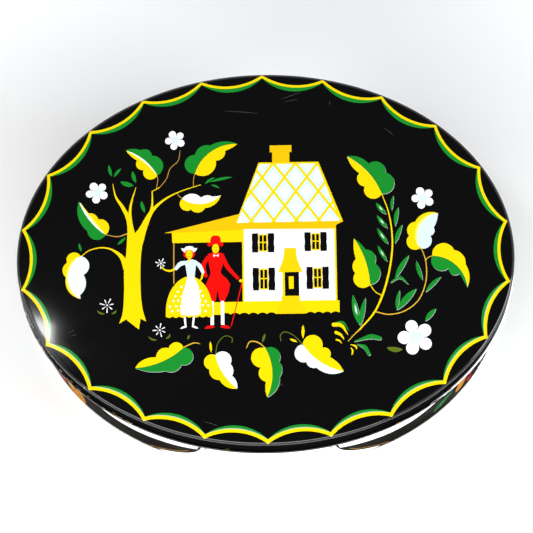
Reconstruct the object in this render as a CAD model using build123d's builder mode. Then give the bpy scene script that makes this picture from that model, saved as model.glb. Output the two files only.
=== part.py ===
from build123d import *
import os

# An oval slip-lid tin: a rolled sheet body with a seamed-on base, and a domed lid that lifts off.
# All sizes are in millimetres. +Z is up, X runs along the long axis, -Y is the front, and the origin
# is the middle of the oval that the tin stands on.

# Driving dimensions
sheet = 0.3  # thickness of the tinplate
lid_half_length = 125.0  # outside of the lid's skirt, along X
lid_half_width = 96.0  # outside of the lid's skirt, along Y
shoulder_height = 81.0  # top of the lid's shoulder above the surface that the tin stands on
dome_rise = 4.0  # how far the middle of the lid stands above its shoulder
skirt_depth = 19.0  # from the shoulder down to the bottom of the lid's curl
shoulder_radius = 2.0  # outer radius between the lid's panel and its skirt
dome_margin = 3.0  # from the skirt in to the foot of the dome
lid_curl_radius = 0.75  # outside radius of the lid's rolled edge
mouth_curl_radius = 0.8  # outside radius of the body's rolled mouth
slip_gap = 0.35  # between the body's wall and the lid's skirt
mouth_drop = 0.8  # from the lid's underside down to the body's mouth
seam_height = 3.0  # height of the double seam round the base
seam_layers_outside = 3  # thicknesses of sheet that the double seam stands proud of the wall
base_recess = 3.0  # from the surface that the tin stands on up to the underside of the base
side_seam_foot = 4.0  # where the lock seam starts, above the edge of the base
side_seam_width = 4.5  # width of the lock seam that joins the two ends of the body's sheet
seam_edge_radius = 0.25  # rounding of the double seam's outer edges

# Worked out from them
body_half_length = lid_half_length - sheet - slip_gap
body_half_width = lid_half_width - sheet - slip_gap
mouth_height = shoulder_height - sheet - mouth_drop
seam_reach = seam_layers_outside * sheet
curl_turn = 300  # how far round a curl goes, in degrees, before it ends beside the wall


def oval_band(height, inset_outer, inset_inner):
    """The strip between two ovals, each given by its distance inside the outside of the body's wall."""
    with BuildSketch(Plane.XY.offset(height)) as band:
        Ellipse(body_half_length - inset_outer, body_half_width - inset_outer)
        Ellipse(body_half_length - inset_inner, body_half_width - inset_inner, mode=Mode.SUBTRACT)
    return band.sketch


def curl_section(half_length, height, radius, start_angle):
    """A strip of sheet bent most of the way round a circle, at the +X end of the oval."""
    middle = (half_length, height)
    with BuildSketch(Plane.XZ) as section:
        with BuildLine():
            outside = CenterArc(middle, radius, start_angle, curl_turn)
            inside = CenterArc(middle, radius - sheet, start_angle, curl_turn)
            Line(outside @ 0, inside @ 0)
            Line(outside @ 1, inside @ 1)
        make_face()
    return section.sketch


def oval_path(half_length, half_width, height):
    """The oval line that a rolled edge follows."""
    return Edge.make_ellipse(half_length, half_width, Plane.XY.offset(height))


def dome_cap(half_length, half_width, rise):
    """A shallow cap on an oval foot: a turned cap, narrowed across."""
    with BuildPart() as cap:
        with BuildSketch(Plane.XZ):
            with BuildLine():
                foot = Line((0, 0), (half_length, 0))
                crown_radius = (half_length**2 + rise**2) / (2 * rise)
                crown = RadiusArc(foot @ 1, (0, rise), -crown_radius)
                Line(crown @ 1, foot @ 0)
            make_face()
        revolve(axis=Axis.Z)
        scale(by=(1, half_width / half_length, 1))
    return cap.part


def lid_form(half_length, half_width, bottom, top, edge_radius, cap):
    """The full block inside one face of the lid's sheet: an oval drum with a rounded shoulder and a cap."""
    with BuildPart() as form:
        with BuildSketch(Plane.XY.offset(bottom)):
            Ellipse(half_length, half_width)
        extrude(amount=top - bottom)
        fillet(form.edges().group_by(Axis.Z)[-1], radius=edge_radius)
        add(cap.moved(Location((0, 0, top))))
    return form.part


# The lid: one drawn sheet, with a domed panel, a rounded shoulder, a skirt and a curl rolled outwards.
skirt_bottom = shoulder_height - skirt_depth
curl_height = skirt_bottom + lid_curl_radius
skirt_end = curl_height - sheet / 2
curl_offset = lid_curl_radius - sheet / 2
lid_cap = dome_cap(lid_half_length - dome_margin, lid_half_width - dome_margin, dome_rise)
lid_outside = lid_form(
    lid_half_length, lid_half_width, skirt_end, shoulder_height, shoulder_radius, lid_cap
)
lid_inside = lid_form(
    lid_half_length - sheet,
    lid_half_width - sheet,
    skirt_end,
    shoulder_height - sheet,
    shoulder_radius - sheet,
    lid_cap,
)

with BuildPart() as lid_shell:
    add(lid_outside)
    add(lid_inside, mode=Mode.SUBTRACT)
    sweep(
        curl_section(lid_half_length + curl_offset, curl_height, lid_curl_radius, 180),
        path=oval_path(lid_half_length + curl_offset, lid_half_width + curl_offset, curl_height),
    )

# The body: one printed sheet rolled into an oval, locked along its side seam, with its mouth curled
# inwards and its foot hooked into the double seam.
hook_floor = sheet
hook_top = seam_height - sheet
mouth_curl_height = mouth_height - mouth_curl_radius
mouth_curl_inset = mouth_curl_radius - sheet / 2
mouth_half_length = body_half_length - mouth_curl_inset
mouth_half_width = body_half_width - mouth_curl_inset
side_seam_top = mouth_curl_height - 2 * mouth_curl_radius

with BuildPart() as body_wall:
    # The wall, in three heights: plain, with the lock seam proud of it inside at the back, and plain.
    with BuildSketch(Plane.XY.offset(side_seam_foot)) as seamed_wall:
        add(oval_band(0, 0, sheet))
        with BuildSketch(mode=Mode.PRIVATE) as lock_seam:
            add(oval_band(0, sheet / 2, 3 * sheet))
            with Locations((0, body_half_width)):
                Rectangle(side_seam_width, 8 * sheet, mode=Mode.INTERSECT)
        add(lock_seam.sketch)
    extrude(amount=side_seam_top - side_seam_foot, clean=False)
    extrude(oval_band(hook_floor, 0, sheet), amount=side_seam_foot - hook_floor, clean=False)
    extrude(
        oval_band(side_seam_top, 0, sheet),
        amount=mouth_curl_height + sheet / 2 - side_seam_top,
        clean=False,
    )
    sweep(
        curl_section(mouth_half_length, mouth_curl_height, mouth_curl_radius, 0),
        path=oval_path(mouth_half_length, mouth_half_width, mouth_curl_height),
        clean=False,
    )
    # The foot turns out and up, into the hook of the base.
    extrude(oval_band(hook_floor, -2 * sheet, sheet / 2), amount=sheet, clean=False)
    extrude(oval_band(hook_floor, -2 * sheet, -sheet), amount=hook_top - hook_floor, clean=False)

# The base: a panel recessed inside the wall, with its edge rolled round the foot of the body.
with BuildPart() as base_plate:
    with BuildSketch(Plane.XY.offset(base_recess)):
        Ellipse(body_half_length - sheet, body_half_width - sheet)
    extrude(amount=sheet)
    extrude(oval_band(0, sheet, 2 * sheet), amount=base_recess + sheet)
    extrude(oval_band(0, -seam_reach, 2 * sheet), amount=hook_floor)
    extrude(oval_band(0, -seam_reach, -2 * sheet), amount=seam_height)
    extrude(oval_band(hook_top, -seam_reach, 0), amount=sheet)
    extrude(oval_band(hook_floor + sheet, -sheet, 0), amount=seam_height - hook_floor - sheet)
    seam_edges = base_plate.edges().filter_by(
        lambda edge: edge.bounding_box().size.X > 2 * (body_half_length + seam_reach) - sheet
    )
    fillet(seam_edges, radius=seam_edge_radius)

os.makedirs("parts", exist_ok=True)
lid_shell.part.label = "lid_shell"
body_wall.part.label = "body_wall"
base_plate.part.label = "base_plate"
export_step(lid_shell.part, "parts/lid_shell.step")
export_step(body_wall.part, "parts/body_wall.step")
export_step(base_plate.part, "parts/base_plate.step")
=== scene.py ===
import functools
import math
import random

import bpy
import numpy as np
from mathutils import Matrix, Vector
from mathutils.geometry import delaunay_2d_cdt


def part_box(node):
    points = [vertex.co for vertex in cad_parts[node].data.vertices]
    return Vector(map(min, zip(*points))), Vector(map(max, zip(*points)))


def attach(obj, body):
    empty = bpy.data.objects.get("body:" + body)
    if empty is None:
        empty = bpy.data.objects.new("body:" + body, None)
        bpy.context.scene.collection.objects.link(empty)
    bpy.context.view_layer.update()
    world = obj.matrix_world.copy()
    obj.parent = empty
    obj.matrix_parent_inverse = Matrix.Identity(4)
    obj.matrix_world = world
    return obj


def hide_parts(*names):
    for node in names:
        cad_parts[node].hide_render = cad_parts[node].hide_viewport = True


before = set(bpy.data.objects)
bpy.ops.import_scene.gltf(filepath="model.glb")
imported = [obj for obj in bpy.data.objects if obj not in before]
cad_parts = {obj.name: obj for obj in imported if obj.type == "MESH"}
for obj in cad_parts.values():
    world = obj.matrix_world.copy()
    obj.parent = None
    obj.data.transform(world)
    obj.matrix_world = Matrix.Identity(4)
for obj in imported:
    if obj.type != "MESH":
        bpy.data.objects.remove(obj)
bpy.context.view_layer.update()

# An oval slip-lid tin of printed tinplate. Shapes and prints are drawn in millimetres and turned into
# metres when a mesh is made. X runs along the long axis, -Y is the front, and Z is up.

MM = 0.001

# Sizes of the sheet work that the frame's boxes don't give
SHEET = 0.3
SLIP_GAP = 0.35
DOME_RISE = 4.0
DOME_MARGIN = 2.0  # from the skirt to the foot of the dome, where the design has 3.0
DOME_SOFT = 0.01  # how gently the dome starts
RIM_ROLL, RIM_FADE = 0.12, 4.0  # how far the panel drops by its rim, and over what width
PANEL_INSET = 0.3  # how far inside the skirt the top's panel meets the shoulder's mesh
SHOULDER = 2.0
SHOULDER_GLOSS = 1.0  # how far the panel's glossy lacquer comes down over the shoulder
LID_CURL_REACH = 1.35
LID_CURL = 0.825  # the radius of the lid's rolled edge
MOUTH_CURL = 0.8
SEAM_HEIGHT = 3.0
SEAM_REACH = 0.9
SIDE_LINE, SIDE_GROOVE = 0.22, 0.1  # the bare line along the side seam: half its width, and its depth
LOCK_HALF, LOCK_DEEP = 2.1, 0.6  # the side seam's lock inside: half its width, and how far it stands in
BASE_RECESS = 3.0
AROUND = 360  # steps round an oval


def node_box(node):
    """A node's lowest and highest corners, in millimetres."""
    low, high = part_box(node)
    return np.array(low) / MM, np.array(high) / MM


LID_LOW, LID_HIGH = node_box("lid_shell")
BODY_LOW, BODY_HIGH = node_box("body_wall")
BASE_LOW, BASE_HIGH = node_box("base_plate")
LID_A = LID_HIGH[0] - LID_CURL_REACH
LID_B = LID_HIGH[1] - LID_CURL_REACH
BODY_A = LID_A - SHEET - SLIP_GAP
BODY_B = LID_B - SHEET - SLIP_GAP
TOP = LID_HIGH[2] - DOME_RISE


# ---- Ovals


class Oval:
    """An ellipse that can be walked evenly. Distance 0 is the middle of the front, and it grows
    towards +X and round the back."""

    def __init__(self, a, b, fine=7200):
        self.a, self.b = a, b
        turn = np.linspace(-math.pi / 2, 1.5 * math.pi, fine + 1)
        x, y = a * np.cos(turn), b * np.sin(turn)
        steps = np.hypot(np.diff(x), np.diff(y))
        self.turns = turn
        self.walked = np.concatenate([[0], np.cumsum(steps)])
        self.length = self.walked[-1]

    def at(self, distance):
        """Points on the oval and its outward normals, at distances along it."""
        turn = np.interp(np.mod(distance, self.length), self.walked, self.turns)
        points = np.stack([self.a * np.cos(turn), self.b * np.sin(turn)], -1)
        normals = np.stack([self.b * np.cos(turn), self.a * np.sin(turn)], -1)
        return points, normals / np.linalg.norm(normals, axis=-1, keepdims=True)

    def inset(self, points):
        """How far inside the oval points are, by stepping to the nearest point on it."""
        turn = np.arctan2(points[:, 1] * self.a, points[:, 0] * self.b)
        for _ in range(12):
            c, s = np.cos(turn), np.sin(turn)
            dx, dy = self.a * c - points[:, 0], self.b * s - points[:, 1]
            slope = -dx * self.a * s + dy * self.b * c
            bend = (self.a * s) ** 2 + (self.b * c) ** 2 - dx * self.a * c - dy * self.b * s
            turn = turn - slope / np.maximum(bend, 1.0)
        c, s = np.cos(turn), np.sin(turn)
        return np.hypot(self.a * c - points[:, 0], self.b * s - points[:, 1])


LID_OVAL = Oval(LID_A, LID_B)
BODY_OVAL = Oval(BODY_A, BODY_B)


# ---- Outlines of printed shapes, as loops of points in millimetres


def vec(*numbers):
    return np.array(numbers, float)


def across(direction):
    """The unit direction to the left of a direction."""
    return vec(-direction[1], direction[0]) / np.hypot(*direction)


def arc(start, end, bulge, step=0.7):
    """Points from start up to, but not on, end, along an arc that bulges to the left by bulge."""
    start, end = vec(*start), vec(*end)
    chord = end - start
    span = np.hypot(*chord)
    if abs(bulge) < 0.03 or span < 0.1:
        return [start]
    radius = (span**2 / 4 + bulge**2) / (2 * abs(bulge))
    side = across(chord) * math.copysign(1, bulge)
    middle = (start + end) / 2 + side * (abs(bulge) - radius)
    half = math.asin(min(1.0, span / 2 / radius))
    if abs(bulge) > span / 2:
        half = math.pi - half
    count = max(3, round(2 * half * radius / step))
    turns = np.linspace(-half, half, count + 1)[:-1]
    along = chord / span
    return [middle + radius * (side * math.cos(t) + along * math.sin(t)) for t in turns]


def smooth(points, closed=False, per=6):
    """A smooth line through a few chosen points."""
    p = np.array(points, float)
    if closed:
        p = np.vstack([p[-1], p, p[0], p[1]])
    else:
        p = np.vstack([2 * p[0] - p[1], p, 2 * p[-1] - p[-2]])
    t = np.linspace(0, 1, per, endpoint=False)[:, None]
    out = []
    for a, b, c, d in zip(p, p[1:], p[2:], p[3:]):
        out.append(b + 0.5 * t * (c - a + t * (2 * a - 5 * b + 4 * c - d + t * (3 * (b - c) + d - a))))
    if not closed:
        out.append(p[-2:-1])
    return np.vstack(out)


def ribbon(points, widths, per=6):
    """A brush stroke along a smooth line, with a width at each chosen point."""
    line = smooth(points, per=per)
    places = np.linspace(0, len(widths) - 1, len(line))
    half = np.interp(places, range(len(widths)), widths)[:, None] / 2
    run = np.gradient(line, axis=0)
    side = np.stack([-run[:, 1], run[:, 0]], -1) / np.linalg.norm(run, axis=1, keepdims=True)
    return np.vstack([line + side * half, (line - side * half)[::-1]])


def blade(base, tip, width, bend=0.0):
    """A slender leaf between two points. bend bows it to the left."""
    there = arc(base, tip, bend + width / 2)
    back = arc(tip, base, width / 2 - bend)
    return np.array(there + back)


def comma(points, widths):
    """A brush stroke that starts round and full, and tapers away."""
    stroke = ribbon(points, widths)
    return np.vstack([stroke, arc(stroke[-1], stroke[0], widths[0] / 2, 0.3)[1:]])


def oval_loop(centre, rx, ry, lean=0.0, count=20):
    turn = np.linspace(0, 2 * math.pi, count, endpoint=False)
    x, y = rx * np.cos(turn), ry * np.sin(turn)
    c, s = math.cos(lean), math.sin(lean)
    return np.stack([centre[0] + c * x - s * y, centre[1] + s * x + c * y], -1)


def box_loop(x0, y0, x1, y1):
    return np.array([(x0, y0), (x1, y0), (x1, y1), (x0, y1)], float)


def moved(loop, dx, dy):
    return np.array(loop, float) + vec(dx, dy)


class Print:
    """Printed shapes in the order that the inks go on."""

    def __init__(self):
        self.inks = []
        self.loops = []

    def add(self, ink, *loops):
        for loop in loops:
            self.inks.append(ink)
            self.loops.append(np.array(loop, float))


# ---- Motifs


def lobed_edge(base, notches, tip, side):
    """One edge of a lobed leaf from base to tip: an arc to each notch, given as x, y and bulge."""
    edge, here = [], base
    for x, y, bulge in notches:
        edge += arc(here, (x, y), side * bulge)
        here = (x, y)
    return edge


def leaf(art, base, tip, bend, left, right, airbrush=None):
    """A leaf in two inks that meet along a bowed midrib. left and right are an ink and the lobes of
    that side. airbrush gives the side that pales towards the midrib, how wide, and its tints."""
    rib = arc(base, tip, bend, 1.0) + [vec(*tip)]
    for side, (ink, lobes) in ((1, left), (-1, right)):
        outline = lobed_edge(base, lobes, tip, side) + rib[::-1][:-1]
        if ink == "green" and base[1] < 40 and base[0] > -75:
            art.add("undercoat", moved(outline, 0.16, -0.24))
        art.add(ink, outline)
        if airbrush and airbrush[0] == side:
            for share, tint in zip((1.0, 0.8, 0.62, 0.45, 0.3), airbrush[2]):
                art.add(tint, rib_strip(rib, side * airbrush[1] * share))


def rib_strip(rib, width):
    """A strip along one side of a midrib, widest at its middle and gone at its ends."""
    line = np.array(rib)
    run = np.gradient(line, axis=0)
    side = np.stack([-run[:, 1], run[:, 0]], -1) / np.linalg.norm(run, axis=1, keepdims=True)
    swell = np.sin(np.linspace(0.06, 0.94, len(line)) * math.pi)[:, None]
    return np.vstack([line[1:-1], (line + side * width * swell)[1:-1][::-1]])


def bloom(art, centre, reach, phase, petals=5):
    """A round-petalled flower, with a faintly blue middle."""
    for k in range(petals):
        turn = phase + 2 * math.pi * k / petals
        size = reach * (0.365 + 0.015 * math.sin(3.0 * k + reach))
        middle = (
            centre[0] + (reach - size) * math.cos(turn),
            centre[1] + (reach - size) * math.sin(turn),
        )
        art.add("white", oval_loop(middle, size, size * 0.97, turn, 22))
    art.add("white", oval_loop(centre, reach * 0.44, reach * 0.44))
    art.add("ice", oval_loop(centre, reach * 0.37, reach * 0.37))


def daisy(art, centre, reach, rays=8, phase=0.2):
    """A small starry flower of white brush strokes."""
    for k in range(rays):
        turn = phase + 2 * math.pi * k / rays
        way = vec(math.cos(turn), math.sin(turn))
        middle = vec(*centre)
        length = reach * (1.0 if k % 2 else 0.82)
        art.add("white", ribbon([middle + way * reach * 0.3, middle + way * length], [0.3, 0.62], 3))
    art.add("white", oval_loop(centre, 0.5, 0.5, count=8))


def green_blade(art, base, tip, width, bend=0.0, light=False):
    """A slender green leaf over its pale undercoat, some with a white streak."""
    shape = blade(base, tip, width, bend)
    art.add("undercoat", moved(shape, 0.16, -0.22))
    art.add("green", shape)
    if light:
        base, tip = vec(*base), vec(*tip)
        start, end = base * 0.7 + tip * 0.3, base * 0.25 + tip * 0.75
        art.add("pale_green", blade(start, end, width * 0.45, bend * 0.5))
        art.add("white", blade(start * 0.85 + end * 0.15, start * 0.2 + end * 0.8, width * 0.25, bend * 0.4))


# ---- The lid's print


def lid_border(art):
    """Scallops round the lid: a yellow band inside a green crescent. Towards the front a pale line of
    the undercoat shows between them."""
    count = 22
    deep = 4.3
    edge = Oval(LID_A - 1.1, LID_B - 0.6)
    cusps, outward = edge.at(np.arange(count + 1) / count * edge.length + 0.4)
    cusps = moved(cusps, -0.2, -0.1)
    for k in range(count):
        start, end = cusps[k], cusps[k + 1]
        front = -(outward[k] + outward[k + 1])[1] / 2
        thick = 1.5 + 0.2 * front
        inside = [p - 1.28 * thick * out for p, out in zip((start, end), outward[k:k + 2])]
        flatter = deep - 0.27 * thick
        pale = 0.42 * min(1.0, max(0.0, 4 * front - 0.4))
        crescent = 1.92 - 0.2 * front
        band_in = arc(*inside, flatter) + [inside[1]]
        art.add("green", arc(*inside, flatter + crescent) + band_in[::-1])
        if pale:
            art.add("undercoat", arc(*inside, flatter + pale) + band_in[::-1])
        art.add("yellow", arc(start, end, deep) + [end] + band_in[::-1])


WHITER = ("pale_1", "pale_2", "pale_3", "white", "white")
ICIER = ("pale_1", "pale_2", "pale_3", "ice", "ice")


def lid_leaves(art):
    """The large lobed leaves, each half green, yellow or white."""
    leaf(art, (-54, 42.5), (-70, 56), -2.0,
         ("yellow", [(-61, 45.5, 3.6), (-64.3, 50.5, 2.0), (-70, 56, 0.5)]),
         ("green", [(-56.8, 53, 4.3), (-62.5, 56, 1.8), (-70, 56, 0.8)]), (1, 1.3, WHITER))
    leaf(art, (-80, 11.8), (-93.7, 29.5), 1.8,
         ("green", [(-89.3, 14, 3.6), (-93.7, 29.5, 2.5)]),
         ("yellow", [(-83.8, 19.9, 3.6), (-89.6, 22.8, 1.6), (-93.7, 29.5, -0.3)]), (-1, 1.9, WHITER))
    leaf(art, (-92.5, 1), (-92.3, -21), -5,
         ("mist", [(-91, -8.7, 3.6), (-92.6, -19, 2.0), (-92.3, -21, 0)]),
         ("yellow", [(-99.3, -2.3, 3.6), (-99.8, -9.8, 2.0), (-92.3, -21, 2.9)]), (-1, 2.5, WHITER))
    leaf(art, (-35, 43), (-13.5, 58.5), 4.6,
         ("green", [(-35, 53, 5.2), (-27.2, 57.9, 2.0), (-13.5, 58.5, 1.7)]),
         ("yellow", [(-24.4, 49.8, 4.2), (-19.6, 55, 1.6), (-13.5, 58.5, 0.4)]))
    leaf(art, (-41.5, 30), (-22, 31.5), -3.6,
         ("white", [(-32, 30.4, 2.4), (-26.5, 31, 0.9), (-22, 31.5, -0.2)]),
         ("yellow", [(-37, 24.3, 3.4), (-30, 25, 2.0), (-22, 31.5, 1.7)]))
    leaf(art, (59, 31), (42, 51), -2.4,
         ("yellow", [(50.5, 35, 4.5), (48, 42, 2.4), (42, 51, 1.0)]),
         ("green", [(61.3, 42.2, 5.4), (52.8, 47, 3.3), (42, 51, 1.6)]))
    leaf(art, (52, -16), (44.5, 8), -1.8,
         ("yellow", [(44.7, -9.9, 4.5), (45.2, -2.6, 1.5), (44.5, 8, 0.6)]),
         ("green", [(54.7, -5, 3.9), (50.2, 2.2, 2.4), (44.5, 8, 0.4)]))
    leaf(art, (77.5, 2.5), (87, 20.5), 3.4,
         ("yellow", [(72.2, 9, 4.0), (75.4, 16.2, 2.4), (87, 20.5, 2.4)]),
         ("ice", [(82.8, 8.8, 3.0), (84.6, 13, 1.2), (87, 20.5, 0.5)]), (1, 3.4, ICIER))
    leaf(art, (83.5, -1.5), (100.5, -18), 4.6,
         ("yellow", [(94.5, 1.3, 5.0), (100, -6.2, 1.9), (100.5, -18, 1.5)]),
         ("green", [(91.5, -8, 4.4), (96.8, -10.8, 2.2), (100.5, -18, 0)]))
    leaf(art, (-41, -46.5), (-65, -56.5), 2.3,
         ("green", [(-42, -55.2, 5.2), (-50, -58.2, 1.9), (-65, -56.5, 1.2)]),
         ("yellow", [(-48.4, -46.8, 2.9), (-54.6, -51.3, 2.1), (-65, -56.3, 1.7)]))
    leaf(art, (-25.3, -50.5), (-14.6, -67.6), -1.8,
         ("mist", [(-17.8, -55.2, 4.1), (-17.1, -61.1, 1.0), (-14.6, -67.6, 0.9)]),
         ("yellow", [(-28.3, -57.8, 4.2), (-23.3, -63.1, 1.8), (-14.6, -67.6, 1.6)]))
    leaf(art, (-0.5, -47.5), (0.1, -72.1), 3.0,
         ("green", [(6.2, -54.2, 3.6), (6.4, -62, 1.3), (0.1, -72.1, 1.9)]),
         ("yellow", [(-2.9, -57.2, 5.9), (-0.4, -64.3, 2.2), (0.1, -72.1, 0.6)]))
    leaf(art, (18, -45.7), (38, -59.7), -2.5,
         ("yellow", [(27.6, -47.6, 5.6), (31.3, -52.4, 2.1), (38, -59.7, 0.9)]),
         ("mist", [(19.6, -54.8, 4.9), (24.6, -57.6, 1.3), (38, -59.7, 2.2)]))


def lid_flowers(art):
    down = -math.pi / 2
    bloom(art, (-45, 61), 5.2, down - 0.2)
    bloom(art, (-84.5, 34), 5.7, down - 0.12)
    bloom(art, (79.7, 28.6), 5.8, down - 0.26)
    bloom(art, (74, -43), 9.0, down - 0.3)
    daisy(art, (-79, -24.5), 3.8, 7)
    daisy(art, (-52.8, -37.5), 3.5, 7, 0.5)
    for base, tip in (((-84, -27), (-80, -28.8)), ((-77, -28.7), (-74.5, -26.8)),
                      ((-58.5, -40.5), (-54, -42.5)), ((-50, -41.8), (-47.7, -39.3))):
        art.add("olive", blade(base, tip, 1.0, -0.7))


def tree(art):
    """The yellow tree, with thin twigs in gold."""
    for line, widths in (
        ([(-53, 36), (-49.5, 40.5), (-47.5, 46), (-43.5, 50), (-42.5, 55.5)], [0.36] * 4 + [0.25]),
        ([(-54.6, 34.8), (-53.8, 40), (-54.2, 42.8)], [0.32] * 3),
        ([(-35.8, 36.1), (-35.7, 40), (-35, 43.3)], [0.34, 0.34, 0.3]),
        ([(-44, 33.4), (-43.2, 31.6), (-41.3, 30)], [0.32] * 3),
        ([(-68.8, 12.3), (-74, 10.8), (-80.2, 12)], [0.7, 0.5, 0.4]),
    ):
        art.add("gold", ribbon(line, widths))
    trunk = smooth([(-59.8, 13.5), (-61.5, 6), (-62.3, -2), (-62.4, -14), (-61.6, -25), (-59.6, -33)])
    roots = [(-62.3, -31.5), (-63.2, -37), (-69.6, -31.8)]
    back = smooth([(-73, -34), (-71.2, -28), (-70.6, -18), (-70.6, -6), (-69.6, 2), (-69, 12.5)])
    crotch = [(-67.6, 13.5), (-65.8, 11.5), (-64.2, 13.8)]
    art.add("yellow", list(trunk) + roots + list(back) + crotch)
    for line, widths in (
        ([(-64.3, 7), (-60.6, 16), (-56.5, 24), (-50, 30), (-42, 34), (-32, 37.2)],
         [6, 3.4, 1.8, 0.9, 0.5, 0.3]),
        ([(-59.3, 18), (-56.7, 26), (-56.6, 34.5)], [1.8, 1.1, 0.4]),
        ([(-56.6, 34.2), (-54.4, 35.2), (-52.8, 36.2)], [0.4, 0.4, 0.36]),
        ([(-66, 9), (-67.6, 19), (-67.4, 27), (-64.8, 36.4)], [3, 1.8, 1.1, 0.25]),
        ([(-67.3, 9), (-68.3, 19), (-71.5, 26), (-75, 31.5), (-76.6, 38.4)], [3, 2.4, 1.7, 0.9, 0.25]),
        ([(-69.2, -6), (-71.8, 0), (-76.5, 3.9), (-82, 5.2), (-88, 3.9), (-92.4, 0.8)],
         [3.4, 2.2, 0.9, 0.65, 0.5, 0.4]),
    ):
        art.add("yellow", ribbon(line, widths))
    for base, tip, width in (
        ((-77, 42.3), (-78.7, 48.5), 1.6), ((-76, 42), (-72.3, 46.5), 1.5), ((-64.8, 38.8), (-66.6, 45), 2),
        ((-66, 37.3), (-72.8, 39.5), 2.4), ((-60.2, 23), (-62, 29.3), 1.8), ((-70, 10.5), (-74.2, 6.7), 1.4),
        ((-92, 3.3), (-93.3, 7.8), 1.2), ((-30, 37.5), (-25, 41), 1.2), ((-28, 38.5), (-16, 41), 1.5),
        ((-27, 37), (-22.5, 35.2), 1),
    ):
        art.add("green", blade(base, tip, width, 0.3))


def plant(art):
    """The tall plant on the right, with the scrolls at its foot."""
    art.add("honey", ribbon([(40.5, -44.5), (43.6, -41.2), (47, -38)], [0.4, 0.5, 0.7]))
    art.add("yellow", ribbon([(46.2, -38.8), (53.5, -30.5), (58, -21.5), (61.5, -10), (63.5, 2), (63.5, 12),
                              (62, 22), (58.8, 31.5)], [0.7, 0.9, 1.0, 0.95, 0.85, 0.75, 0.6, 0.4]))
    art.add("yellow", ribbon([(57.8, -21.6), (54.5, -19.5), (51.8, -15.6)], [0.5, 0.45, 0.4]))
    art.add("honey", ribbon([(54.3, -29.7), (61, -31.2), (69, -29.5), (76, -24), (79.8, -15), (80.3, -6),
                             (79, 0), (77.4, 3)], [0.55, 0.55, 0.55, 0.55, 0.55, 0.5, 0.45, 0.4]))
    art.add("honey", ribbon([(79.8, -4), (81.5, -2.3), (84, -1.4)], [0.4] * 3))
    for base, tip, width in (
        ((61, 20.3), (56, 26.5), 2.2), ((61.5, 13), (56.3, 20), 2.2), ((61.7, 4.8), (56.2, 13.3), 2.2),
        ((60.9, -4.2), (56.3, 4.3), 2.0), ((46.3, -36.5), (43.3, -21), 3.0),
    ):
        green_blade(art, base, tip, width, 0.25, light=True)
    for base, tip, width in (
        ((63.8, 22.3), (64.9, 30), 1.5), ((65.3, 14), (67.2, 24), 2), ((65, 5), (68.9, 14.8), 2),
        ((64.5, -13), (71.8, -1), 2.4), ((78.3, -14), (75.4, -3.8), 2), ((79.5, -20.2), (87.5, -12.3), 2),
        ((65, -29.2), (66.7, -19), 1.8), ((65.3, -29), (75, -18.3), 3.2), ((46.8, -37), (49.6, -22.5), 2.4),
        ((79, -35), (84.5, -28.7), 2.4),
    ):
        green_blade(art, base, tip, width, 0.35)
    for shape in (
        ribbon([(62.3, -14.8), (67, -12.4), (71, -15.9)], [0.5, 1.5, 0.4]),
        comma([(56.2, -43.2), (51.5, -42.4), (43.5, -44.7)], [1.9, 2.5, 0.3]),
        comma([(50.8, -51.2), (48.6, -47.6), (44.8, -46.1)], [1.5, 2.2, 0.3]),
    ):
        art.add("undercoat", moved(shape, 0.1, -0.25))
        art.add("green", shape)
    art.add("olive", blade((59.5, -48), (67.5, -49), 2.6, -0.6))
    art.add("green", comma([(34.6, -34.9), (38.2, -34.9), (41.0, -39.3)], [0.5, 1.1, 0.3]))
    for line, widths in (
        ([(33.6, -36.0), (37.4, -36.5), (40.5, -41.2)], [2.1, 1.8, 0.3]),
        ([(34.6, -40.0), (36.9, -41.2), (38.5, -43.6)], [1.6, 1.3, 0.3]),
        ([(34.8, -43.7), (36.2, -44.2), (37.3, -45.5)], [1.0, 0.9, 0.3]),
        ([(44.6, -48.3), (44.0, -47.0), (41.6, -46.2)], [0.6, 1.0, 0.3]),
        ([(42.3, -51.2), (42.6, -49.2), (41.7, -47.8)], [0.6, 0.9, 0.3]),
    ):
        art.add("yellow", comma(line, widths))


def front_row(art):
    """The tendrils and small blades among the row of leaves at the front."""
    for ink, line, widths in (
        ("honey", [(-40.8, -46.3), (-36, -44.3), (-33, -44.6)], [0.5, 0.6, 0.4]),
        ("olive", [(-25.2, -50.3), (-24, -44.5), (-20.5, -41), (-17, -42), (-17, -44.5)], [0.4] * 5),
        ("honey", [(-0.3, -47.5), (-4, -44.5), (-8, -44), (-10, -47.3)], [0.45, 0.6, 0.6, 0.3]),
        ("olive", [(18.3, -46.3), (14, -41.5), (9.5, -39.3), (7, -41), (7.3, -44)], [0.42] * 5),
    ):
        art.add(ink, ribbon(line, widths))
    for ink, base, tip, width in (
        ("olive", (-39, -42.5), (-38, -40), 1.0), ("yellow", (-27.3, -49.3), (-27.8, -43.5), 1.2),
        ("olive", (-2, -44.5), (-0.5, -40), 1.2), ("yellow", (18.2, -42.8), (18.3, -35.8), 1.5),
        ("yellow", (15.3, -44.5), (11.5, -42.8), 1.2),
    ):
        art.add(ink, blade(base, tip, width))


# ---- The house


def clip(loop, window):
    """The part of a loop inside a convex window that runs anticlockwise."""
    kept = [vec(*p) for p in loop]
    for a, b in zip(window, np.roll(window, -1, 0)):
        edge = b - a
        depth = [edge[0] * (p[1] - a[1]) - edge[1] * (p[0] - a[0]) for p in kept]
        cut = []
        for k, p in enumerate(kept):
            q, here, there = kept[k - 1], depth[k], depth[k - 1]
            if (here >= 0) != (there >= 0):
                cut.append(q + (p - q) * there / (there - here))
            if here >= 0:
                cut.append(p)
        kept = cut
    return kept


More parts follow.
